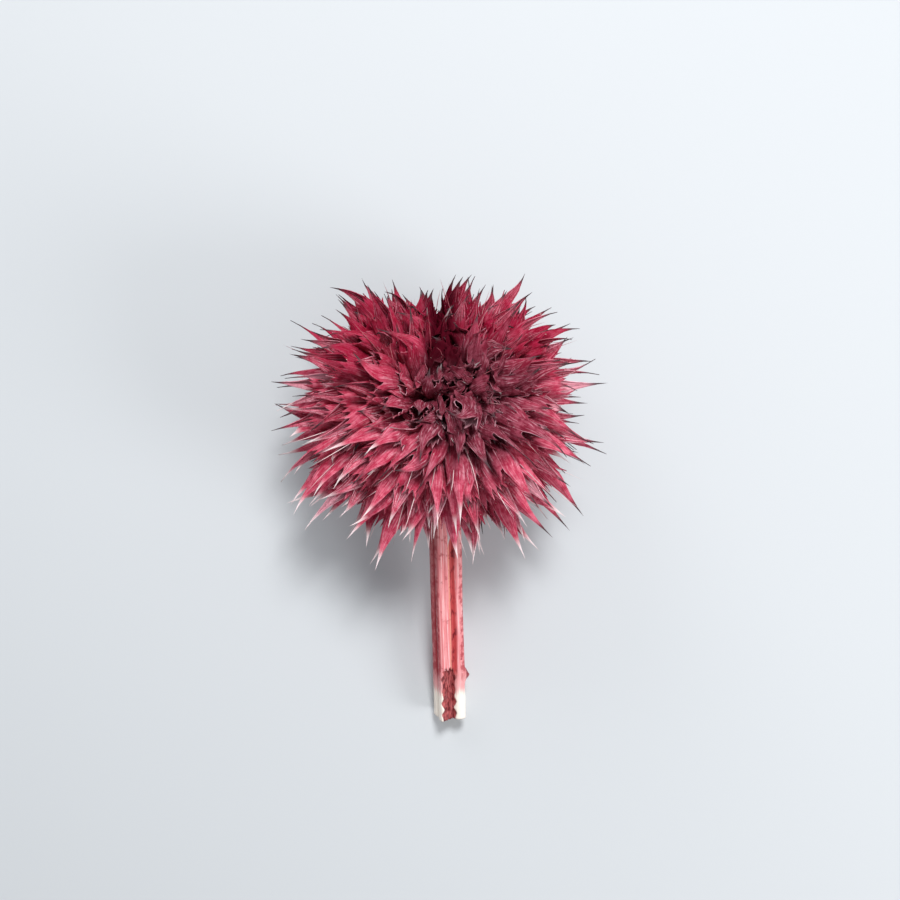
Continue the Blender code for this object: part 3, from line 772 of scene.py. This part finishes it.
def build_dye_and_shade_group():
    """The dye over the whole head: deep at the far end, rose by the stem, plum on top, with painted
    shade towards its middle and down the parting.
    """
    group, dye_and_shade, entry, leave = new_group(
        "dye_and_painted_shade_over_the_head", {"Tint": "Float"},
        {"Colour": "Color", "Depth": "Float", "Fading": "Float", "Shade": "Color"})
    centred = dye_and_shade.node("Mapping", {"Vector": dye_and_shade.place(), "Location": -Vector(head_centre)})
    centred = centred.outputs["Vector"]
    sideways, forwards, _ = dye_and_shade.split(centred)
    wander = dye_and_shade.slope(dye_and_shade.noise(centred, 110.0, 2.0, 0.5), 0.016, -0.008)
    along = dye_and_shade.add(forwards, wander)
    outward = dye_and_shade.size(dye_and_shade.add(sideways, -0.002))
    rosy = dye_and_shade.fade(dye_and_shade.slope(outward, -0.20, along), 0.018, -0.018)
    lifted = dye_and_shade.slope(entry["Tint"], 0.5, -0.25)
    rosy = dye_and_shade.add(rosy, lifted, clamp=True)
    away = dye_and_shade.node("VectorMath", {0: centred, 1: PLUM_CENTRE}, operation="DISTANCE")
    plum = dye_and_shade.fade(dye_and_shade.add(away.outputs["Value"], wander), 0.022, 0.009, 0.0, 0.9)
    # Painted shade: deep shade towards the middle of the head and down the parting between the
    # half-whorls.
    spread = dye_and_shade.node("VectorMath", {0: centred}, operation="LENGTH").outputs["Value"]
    beside = dye_and_shade.size(dye_and_shade.add(sideways, -0.0007))
    parting = dye_and_shade.times(dye_and_shade.fade(beside, 0.0052, 0.0018),
                        dye_and_shade.fade(along, -0.001, 0.007, 0.0, 0.95))
    depth = dye_and_shade.maths("MAXIMUM", dye_and_shade.fade(spread, 0.021, 0.010), parting)
    dye_and_shade.feed(leave["Depth"], depth)
    dye_and_shade.feed(leave["Fading"], rosy)
    for name, far, near, top in (("Colour", CRIMSON, ROSE, PLUM),
                                 ("Shade", OXBLOOD, DEEP_ROSE, DEEP_SHADE)):
        dye_and_shade.feed(leave[name], dye_and_shade.layers(far, (rosy, near), (plum, top), (depth, DEEP_SHADE)))
    return group


def build_spine_group():
    """A tooth's dry tip over its dyed tissue: near black, or pale straw."""
    group, tip, entry, leave = new_group(
        "spine_tip", {"Colour": "Color", "Along": "Float", "Paleness": "Float"},
        {"Colour": "Color"})
    dry = tip.mix(entry["Paleness"], SPINE_BLACK, SPINE_STRAW)
    tip.feed(leave["Colour"], tip.mix(tip.fade(entry["Along"], 0.86, 0.95), entry["Colour"], dry))
    return group


def dyed_and_shaded_tissue(tissue, dye_and_shade):
    """What a side of the wall reads: the outputs of the dye and its painted shade, tint, map, its two
    parts, and place.
    """
    tint, uv = tissue.read("tint"), tissue.uv("calyx")
    dyed_and_shaded = tissue.node("Group", {"Tint": tint}, node_tree=dye_and_shade).outputs
    return *dyed_and_shaded, tint, uv, *tissue.split(uv)[:2], tissue.place()


def tipped(tissue, colour, along, spine_tip):
    """A tissue's colour with the dry tips of the teeth laid over it."""
    feeds = {"Colour": colour, "Along": along, "Paleness": tissue.read("spine")}
    return tissue.node("Group", feeds, node_tree=spine_tip).outputs["Colour"]


def calyx_paper(dye_and_shade, spine_tip):
    """Dyed papery tissue: pale veins and bloom over darker creases and specks, painted highlights on
    ribs and rims, painted shade on undersides and feet.
    """
    paper = new_finish("calyx_paper", 0.58, 0.0)
    colour, depth, fading, shade, tint, uv, across, along, place = dyed_and_shaded_tissue(paper, dye_and_shade)
    place_on_rib = paper.times(across, float(RIBS))
    rib = paper.fade(paper.maths("PINGPONG", place_on_rib, 0.5), 0.17, 0.0)
    above = paper.fade(paper.maths("PINGPONG", across, 0.5), 0.42, 0.06)
    on_tooth = paper.fade(along, 0.50, 0.64)
    veins = paper.noise(uv, (30.0, 4.0, 1.0), 3.0)
    fine_veins = paper.noise(uv, (64.0, 5.0, 1.0), 2.0)
    mottle = paper.noise(place, 1500.0, 3.0, 0.65)
    patches = paper.fade(paper.noise(place, 260.0, 2.0, 0.5), 0.35, 0.65, 0.3, 1.0)
    dust = paper.fade(paper.noise(place, 2600.0, 2.0), 0.58, 0.80, 0.0, 0.8)
    fine = paper.times(paper.fade(fine_veins, 0.52, 0.62), on_tooth)
    light = paper.maths("MAXIMUM", paper.fade(veins, 0.51, 0.62), fine)
    # Painted highlight along the ribs, strongest on the upper side of the calyx.
    rib_highlight = paper.times(rib, paper.slope(above, 0.5, 0.15))
    light = paper.slope(light, 0.66, rib_highlight)
    # Painted highlight: the free rim is paled.
    rim = paper.maths("POWER", paper.read("rim"), 2.0)
    light = paper.slope(rim, 0.08, light)
    light = paper.add(paper.times(light, patches, clamp=True), dust)
    light = paper.times(light, paper.fade(fading, 0.0, 1.0, 0.38, 1.1))
    light = paper.times(light, paper.maths("SUBTRACT", 1.0, depth), clamp=True)
    fine = paper.times(paper.fade(fine_veins, 0.49, 0.39, 0.0, 0.80), on_tooth)
    dark = paper.maths("MAXIMUM", paper.fade(veins, 0.49, 0.38, 0.0, 0.80), fine)
    faded_one = paper.times(paper.fade(tint, 0.68, 1.0, 0.0, 0.38),
                            paper.fade(fading, 0.35, 1.0, 0.12, 1.0))
    colour = paper.layers(
        colour,
        (light, PALE_PINK),
        (dark, shade),
        (paper.fade(mottle, 0.50, 0.34, 0.0, 0.65), shade),
        # Painted shade on the underside of each calyx, away from its keel.
        (paper.slope(above, -0.66, 0.66), shade),
        # Painted shade on the foot of each tube, where the calyces overlap.
        (paper.fade(along, 0.66, 0.38, 0.0, 0.86), shade),
        (paper.fade(tint, 0.40, 0.05, 0.0, 0.42), shade),
        (faded_one, PALE_PINK))
    height = paper.slope(rib, 0.9, paper.times(veins, 0.6))
    height = paper.slope(mottle, 0.5, height)
    return paper.cover(tipped(paper, colour, along, spine_tip), height, 0.8, 0.00025)


def calyx_lining(dye_and_shade, spine_tip):
    """The inside of the wall: duller than the outside, darkened with painted shade, veined along,
    with buff specks of dust.
    """
    lining = new_finish("calyx_lining", 0.8, 0.0)
    colour, depth, fading, shade, _, uv, _, along, place = dyed_and_shaded_tissue(lining, dye_and_shade)
    veins = lining.noise(uv, (64.0, 8.0, 1.0), 4.0)
    mottle = lining.noise(place, 700.0, 3.0)
    dust = lining.noise(place, 1600.0, 1.0)
    clear = lining.times(lining.slope(depth, -0.46, 0.46),
                         lining.fade(fading, 0.0, 1.0, 0.35, 1.0))
    colour = lining.layers(
        colour,
        # Painted shade, mottled: the inside is always a quarter to three quarters of the way to
        # shade.
        (lining.fade(mottle, 0.40, 0.62, 0.75, 0.25), shade),
        (lining.fade(veins, 0.49, 0.34, 0.0, 0.62), shade),
        (lining.times(lining.fade(veins, 0.52, 0.70), clear), PALE_PINK),
        (lining.fade(dust, 0.77, 0.82), BUFF_DUST))
    height = lining.add(veins, mottle)
    return lining.cover(tipped(lining, colour, along, spine_tip), height, 0.7, 0.0002)


def spine_paleness(curve, rng):
    """Spine tips are pale straw on the stem's side of the head and near black elsewhere."""
    level = curve[3, 1] / HEAD_HALVES[1] + 0.25 * curve[3, 0] / HEAD_HALVES[0]
    return 0.9 if level + 0.3 * rng.normal() < -0.5 else 0.06


def young_calyx(curve, rng):
    """A short, shrivelled calyx that stands in the gap beside one of the crown's calyces."""
    young = curve.copy()
    young[1:] *= rng.uniform(0.74, 0.92)
    young[1] += rng.normal(0.0, 0.0008, 3)
    young[2] += rng.normal(0.0, 0.0022, 3)
    young[3] = young[2] + 0.35 * (young[3] - young[2]) + rng.normal(0.0, 0.0042, 3)
    return young


def dress(mesh, tint, spine):
    """Give a copied mesh its own dye and its own spine colour."""
    for name, value in (("tint", tint), ("spine", spine)):
        attribute = mesh.attributes.new(name, "FLOAT", "POINT")
        attribute.data.foreach_set("value", np.full(len(mesh.vertices), value))


def add_copy(bm, blank, places, tint, spine):
    """Join a copy of a blank into a bmesh with its vertices at the given places."""
    copied = blank.copy()
    copied.vertices.foreach_set("co", places.ravel())
    dress(copied, tint, spine)
    bm.from_mesh(copied)
    bpy.data.meshes.remove(copied)


def lay_out_small_calyces(curves, clusters, rng):
    """Curves and clusters of later, smaller calyces, each in the widest gap left by the others."""
    mouths = unit(curves[:, 2])
    candidates = unit(rng.normal(0.0, 1.0, (4000, 3)))
    gap = np.linalg.norm(candidates[:, None] - mouths[None], axis=2).min(axis=1)
    candidates, gap = candidates[gap < 0.24], gap[gap < 0.24]
    small_curves, small_clusters = [], []
    for _ in range(SMALL_CALYX_COUNT):
        direction = candidates[np.argmax(gap)]
        gap = np.minimum(gap, np.linalg.norm(candidates - direction, axis=1))
        other_side = mouths[:, 0] * direction[0] < 0.0
        closest = np.argsort(np.linalg.norm(mouths - direction, axis=1) + other_side)[:3]
        curve = curves[closest].mean(axis=0)
        reach = np.linalg.norm(curves[closest, 2], axis=1).mean()
        curve[2] = direction * reach * rng.uniform(0.86, 1.0)
        curve[3] *= rng.uniform(0.64, 0.84) + (0.12 if direction[1] < 0.1 else 0.0)
        small_curves.append(curve)
        small_clusters.append(clusters[closest[0]])
    spaced = np.linspace(-1.9, 1.9, NECK_CALYX_COUNT)
    for around in spaced + rng.normal(0.0, 0.12, NECK_CALYX_COUNT):
        from_stem = np.radians((62.0, 34.0, 19.0, 14.0)) + (0.0, 0.0, 0.0, rng.normal(0.0, 0.04))
        out = np.sin(from_stem)
        line = (out * math.sin(around), -np.cos(from_stem), out * math.cos(around))
        line = np.stack(line, axis=1)
        reach = np.array([0.0078, 0.0145, 0.0215, rng.uniform(0.0285, 0.0335)])
        small_curves.append(line * reach[:, None])
        small_clusters.append(clusters[np.argmax(mouths @ line[2])])
    return np.array(small_curves), np.array(small_clusters)


calyx_curves, calyx_clusters, calyx_rolls = lay_out_calyces()
calyx_widths = fit_widths(calyx_curves, calyx_clusters)
calyx_blank = build_calyx_blank(COLUMNS_PER_RIB, TUBE_ROWS, TOOTH_ROWS, UPPER_TOOTH_COLUMNS)
small_blank = build_calyx_blank(SMALL_COLUMNS_PER_RIB, SMALL_TUBE_ROWS, SMALL_TOOTH_ROWS,
                                SMALL_UPPER_TOOTH_COLUMNS)
blank_points = vertex_places(calyx_blank)
small_points = vertex_places(small_blank)
small_curves, small_clusters = lay_out_small_calyces(calyx_curves, calyx_clusters,
                                                     np.random.default_rng(31))
dye_and_shade, spine_tip = build_dye_and_shade_group(), build_spine_group()
calyx_wall = [calyx_paper(dye_and_shade, spine_tip), calyx_lining(dye_and_shade, spine_tip)]


def add_paper_piece(name, bm, node):
    """Add a piece of calyx tissue, its sheet thickened to a wall with the lining inside."""
    piece = add_piece(name, bm, calyx_wall, node)
    wall = piece.modifiers.new("paper", "SOLIDIFY")
    wall.thickness = PAPER
    wall.material_offset = 1


rng = np.random.default_rng(7)
for cluster in range(2 * CLUSTERS_PER_SIDE):
    side = "right" if cluster < CLUSTERS_PER_SIDE else "left"
    number = cluster % CLUSTERS_PER_SIDE + 1
    bm = bmesh.new()
    for i in np.flatnonzero(calyx_clusters == cluster):
        closeness = crown_closeness(unit(calyx_curves[i, 2]))
        curve = disordered(calyx_curves[i], closeness, rng)
        crumpled = min(1.0, 0.7 * closeness + 0.8 * rng.uniform(0.0, 1.0) ** 6)
        broken = rng.choice((1.0, 0.7, 0.25)) if closeness > CROWN_EDGE else 1.0
        places = bend_calyx(blank_points, curve, calyx_widths[i], calyx_rolls[i], crumpled, rng,
                            tooth_left=broken)
        add_copy(bm, calyx_blank, places, rng.uniform(0.0, 1.0), spine_paleness(curve, rng))
        for _ in range(round(2.6 * closeness)):
            places = bend_calyx(small_points, young_calyx(calyx_curves[i], rng),
                                rng.uniform(0.45, 0.70) * full_width(WIDTH_SHARES),
                                rng.normal(0.0, 1.5), 0.9, rng, 0.0, rng.choice((1.0, 0.55, 0.2)))
            add_copy(bm, small_blank, places, rng.uniform(0.0, 1.0), 0.3)
    for small_curve in small_curves[small_clusters == cluster]:
        closeness = crown_closeness(unit(small_curve[2]))
        curve = disordered(small_curve, closeness, rng)
        places = bend_calyx(small_points, curve, rng.uniform(0.85, 1.05) * full_width(WIDTH_SHARES),
                            rng.normal(0.0, 0.5), 0.2 + 0.6 * closeness, rng, 0.0)
        add_copy(bm, small_blank, places, rng.uniform(0.0, 1.0), spine_paleness(curve, rng))
    add_paper_piece(f"calyces_{side}_{number:02d}", bm, f"calyx_cluster_{side}_{number:02d}")
bpy.data.meshes.remove(calyx_blank)
bpy.data.meshes.remove(small_blank)

# ---------------- the withered scraps
# Torn lips and tube ends of old flowers and calyces, dried and folded, that have lodged among
# the short calyces of the crown.

SCRAP_COUNT = 40
SCRAP_COLUMNS = 5
SCRAP_ROWS = 9


def build_scrap_blank():
    """A lance-shaped flap of unit length with a fold down its middle and its edges rolled in."""
    bm = bmesh.new()
    bmesh.ops.create_grid(bm, x_segments=SCRAP_COLUMNS - 1, y_segments=SCRAP_ROWS - 1, size=0.5)
    uv = bm.loops.layers.uv.new("calyx")
    mark_rim(bm, lambda vert: vert.is_boundary)
    for face in bm.faces:
        for loop in face.loops:
            loop[uv].uv = (0.30 * loop.vert.co.x, 0.30 + 0.4 * (loop.vert.co.y + 0.5))
    for vert in bm.verts:
        across, share = 2.0 * vert.co.x, vert.co.y + 0.5
        width = math.sin(math.pi * min(0.98, 0.12 + 0.86 * share)) ** 0.8
        roll = 1.1 * abs(across)
        sideways, rolled = math.copysign(math.sin(roll), across), 0.7 - 0.7 * math.cos(roll)
        vert.co = (sideways * width, share, rolled * width)
    return finished_mesh("scrap_blank", bm)


scrap_blank = build_scrap_blank()
scrap_points = vertex_places(scrap_blank)
rng = np.random.default_rng(19)
bm = bmesh.new()
for _ in range(SCRAP_COUNT):
    stray = rng.normal(0.0, 0.34, 3) * (1.0, 1.0, 0.4)
    outward = unit(SWEEP_POLE + np.array([0.10, -0.22, 0.0]) + stray)
    sideways = unit(np.cross(outward, rng.normal(0.0, 1.0, 3)))
    along = unit(outward * rng.uniform(-0.15, 0.75) + sideways)
    facing = unit(outward - (outward @ along) * along + 0.35 * rng.normal(0.0, 1.0, 3))
    across = unit(np.cross(facing, along))
    facing = np.cross(along, across)
    length = rng.uniform(0.0035, 0.0075)
    width = rng.uniform(0.0006, 0.0013)
    foot = outward * rng.uniform(0.0140, 0.0215)
    bend = rng.normal(0.0, 0.45) * length * scrap_points[:, 1] ** 2
    places = (foot + length * scrap_points[:, 1:2] * along + bend[:, None] * facing
              + width * (scrap_points[:, :1] * across - scrap_points[:, 2:] * facing))
    folds, creases = 0.0010 * ruffle(places, 420.0), 0.0004 * ruffle(places, 1300.0)
    add_copy(bm, scrap_blank, to_surface(places + folds + creases), rng.uniform(0.0, 1.0), 0.5)
add_paper_piece("withered_scraps", bm, None)
bpy.data.meshes.remove(scrap_blank)

# ---------------- the needle bracts
# Stiff bracts as thin as straws that stand between the calyces, and a ring of longer ones that
# hangs from a collar round the neck of the stem.

NEEDLES_PER_CLUSTER = 3
NECK_NEEDLES = 30
NEEDLE_RADIUS = 0.00017
NEEDLE_ROWS = (0.15, 0.32, 0.50, 0.68, 0.85)
NECK_RADIUS = 0.0043
NECK_PLACE = np.array([0.0, -0.0085, 0.0])
COLLAR_PROFILE = ((-0.0080, 0.0041), (-0.0079, 0.0046), (-0.0084, 0.0051),
                  (-0.0091, 0.0049), (-0.0094, NECK_RADIUS))


def build_needle_blank():
    """A straight needle of unit length and radius, drawn to a point."""
    bm = bmesh.new()
    bmesh.ops.create_circle(bm, segments=4, radius=1.0)
    edges = bm.edges[:]
    for share in NEEDLE_ROWS:
        verts, edges = extrude_ring(bm, edges)
        for vert in verts:
            vert.co = (vert.co.x, vert.co.y, share)
    for vert in bm.verts:
        thinner = 1.0 - 0.85 * vert.co.z ** 2
        vert.co.x *= thinner
        vert.co.y *= thinner
    verts, _ = extrude_ring(bm, edges)
    bmesh.ops.pointmerge(bm, verts=verts, merge_co=(0.0, 0.0, 1.0))
    bmesh.ops.holes_fill(bm, edges=bm.edges)
    bmesh.ops.recalc_face_normals(bm, faces=bm.faces)
    return finished_mesh("needle_blank", bm)


def bend_needle(flat, curve, radius):
    """Vertex places of the needle blank, bent along a curve and laid down with the flower."""
    place, tangent = bezier(curve[None], flat[:, 2])
    place, tangent = place[0], tangent[0]
    side = unit(np.cross(tangent, curve[0] + np.array([0.001, 0.0, 0.002])))
    other = np.cross(tangent, side)
    laid = to_surface(place + radius * (flat[:, :1] * side + flat[:, 1:2] * other))
    laid[:, 2] = np.maximum(laid[:, 2], 0.0)
    return laid


STRAW_FOOT = (0.30, 0.025, 0.048)
STRAW_TIP = (0.94, 0.72, 0.73)


def build_straw():
    """Dry bract: straw, patchily dyed, the more so the lower its tint."""
    straw = new_finish("needle_straw", 0.5)
    patch = straw.noise(straw.place(), 500.0, 3.0)
    share = straw.slope(patch, 0.6, -0.3)
    share = straw.add(share, straw.read("tint"), clamp=True)
    return straw.cover(straw.mix(share, STRAW_FOOT, STRAW_TIP), patch, 0.4, 0.0001)


needle_blank = build_needle_blank()
needle_points = vertex_places(needle_blank)
needle_straw = build_straw()
rng = np.random.default_rng(29)
for side, first in (("right", 0), ("left", CLUSTERS_PER_SIDE)):
    bm = bmesh.new()
    for cluster in range(first, first + CLUSTERS_PER_SIDE):
        for curve in rng.choice(calyx_curves[calyx_clusters == cluster], NEEDLES_PER_CLUSTER):
            # Needles towards the stem's end of the head are paler straw and reach further.
            on_stem_side = curve[3, 1] < -0.3 * HEAD_HALVES[1]
            reach = rng.uniform(0.90, 1.04) if on_stem_side else rng.uniform(0.74, 0.94)
            needle = curve * np.array([1.6, 1.0, 1.02, reach])[:, None]
            needle[1:] += np.array([0.5, 1.0, 1.6])[:, None] * rng.normal(0.0, 0.0013, 3)
            needle[3] += rng.normal(0.0, 0.0016, 3)
            palest = 0.45 if curve[3, 1] < 0.2 * HEAD_HALVES[1] else 0.12
            add_copy(bm, needle_blank, bend_needle(needle_points, needle, NEEDLE_RADIUS),
                     0.6 * on_stem_side + rng.uniform(0.0, palest), 0.5)
    add_piece(f"needle_bracts_{side}", bm, [needle_straw], None)

bm = bmesh.new()
for number in range(NECK_NEEDLES):
    angle = 2 * math.pi * (number + rng.uniform(-0.3, 0.3)) / NECK_NEEDLES
    around = np.array([math.cos(angle), 0.0, math.sin(angle)])
    start = NECK_RADIUS * around + NECK_PLACE
    hang, spread = rng.uniform(0.016, 0.0245), rng.uniform(0.0005, 0.0045)
    end = start + spread * around + np.array([rng.normal(0.0, 0.001), -hang, 0.0])
    needle = np.array([start, start + 0.33 * (end - start) + 0.0012 * around,
                       start + 0.66 * (end - start) + 0.0010 * around, end])
    add_copy(bm, needle_blank, bend_needle(needle_points, needle, 1.5 * NEEDLE_RADIUS),
             rng.uniform(0.3, 1.0), 0.5)


def build_collar():
    """The low ring of tissue round the neck, from a rounded profile swept round the stem."""
    bm = bmesh.new()
    bmesh.ops.create_circle(bm, segments=36, radius=1.0)
    first = edges = bm.edges[:]
    verts = bm.verts[:]
    for step, (along, out) in enumerate(COLLAR_PROFILE):
        if step:
            verts, edges = extrude_ring(bm, edges)
        for vert in verts:
            across = Vector((vert.co.x, vert.co.z if step else vert.co.y)).normalized() * out
            vert.co = (across.x, along, across.y)
    bmesh.ops.bridge_loops(bm, edges=first + edges)
    bmesh.ops.recalc_face_normals(bm, faces=bm.faces)
    for vert in bm.verts:
        ripple = 1.0 + 0.05 * noise.noise(vert.co * 900.0)
        vert.co = Vector(to_surface(np.array((vert.co.x * ripple, vert.co.y, vert.co.z * ripple))))
    return finished_mesh("collar", bm)


collar = build_collar()
dress(collar, 0.2, 0.5)
bm.from_mesh(collar)
bpy.data.meshes.remove(collar)
add_piece("neck_bracts_and_collar", bm, [needle_straw], "bract_whorl")
bpy.data.meshes.remove(needle_blank)

# ---------------- the surface, light and camera
# A plain pale surface, a soft lamp over the flower's upper right, a fainter one on either
# side and an even sky.

FLOOR_GREY = (0.562, 0.586, 0.608)
FLOOR_WIDTH = 1.5
SKY_WHITE = (0.93, 0.96, 1.0)
SKY_STRENGTH = 0.405
CAMERA_LENS = 65.0
VIEW_WIDTH = 0.1915
VIEW_SHIFT = (0.0028, -0.0083)
VIEW_TURN = math.radians(-1.5)

floor_bm = bmesh.new()
bmesh.ops.create_grid(floor_bm, x_segments=1, y_segments=1, size=FLOOR_WIDTH)
floor = add_object("floor", finished_mesh("floor", floor_bm))
floor_paint = new_finish("floor_paint", 0.9)
floor_paint.shader["Base Color"].default_value = (*FLOOR_GREY, 1.0)
floor.data.materials.append(floor_paint.material)

world = bpy.data.worlds.new("studio")
scene.world = world
world.use_nodes = True
sky = world.node_tree.nodes["Background"]
sky.inputs["Color"].default_value = (*SKY_WHITE, 1.0)
sky.inputs["Strength"].default_value = SKY_STRENGTH


def add_lamp(name, place, size, power):
    """A round soft lamp that shines on the middle of the head."""
    lamp = bpy.data.lights.new(name, "AREA")
    lamp.shape = "DISK"
    lamp.size = size
    lamp.energy = power
    holder = add_object(name, lamp)
    holder.location = place
    aim = Vector(head_centre) - Vector(place)
    holder.rotation_euler = aim.to_track_quat("-Z", "Y").to_euler()


add_lamp("soft_lamp", (0.100, 0.32, 0.59), 0.19, 3.8)
add_lamp("right_lamp", (0.40, -0.18, 0.28), 0.24, 1.18)
add_lamp("left_lamp", (-0.24, 0.40, 0.30), 0.24, 0.46)

camera_data = bpy.data.cameras.new("camera")
camera_data.lens = CAMERA_LENS
camera_data.clip_start = 0.01
camera = add_object("camera", camera_data)
camera_height = VIEW_WIDTH * CAMERA_LENS / camera_data.sensor_width
camera.location = Vector(to_surface(HEAD_SHIFT)) + Vector((*VIEW_SHIFT, camera_height))
camera.rotation_euler = (0.0, 0.0, VIEW_TURN)
scene.camera = camera
scene.view_settings.view_transform = "Standard"
